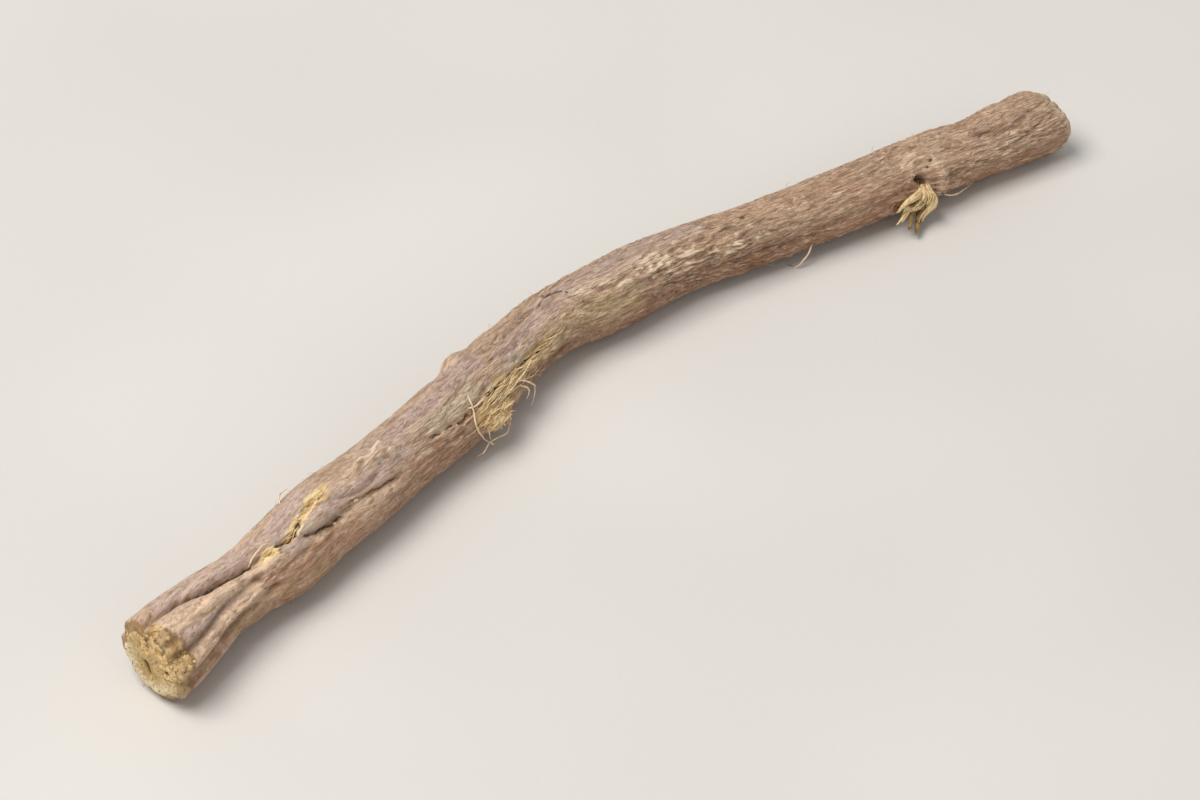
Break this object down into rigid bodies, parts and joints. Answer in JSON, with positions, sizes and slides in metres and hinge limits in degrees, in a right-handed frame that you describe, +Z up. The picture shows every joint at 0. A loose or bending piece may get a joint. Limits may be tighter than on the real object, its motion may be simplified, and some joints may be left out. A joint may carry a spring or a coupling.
{
  "type": "licorice root",
  "caption": "Cut stick of dried licorice root, gently bent, with wrinkled brown bark, pale cut ends and a broken rootlet stub.",
  "frame": {"origin": "middle of the root's footprint, on the surface it rests on", "axes": "+X from the flared cut end to the far cut end, +Z up"},
  "size_m": [0.167, 0.03, 0.0112],
  "materials": {
    "bark": "dry wrinkled root bark, matte, with pale yellow cut wood at both ends"
  },
  "bodies": {
    "root": {"licorice_root": "bark"}
  },
  "joints": []
}
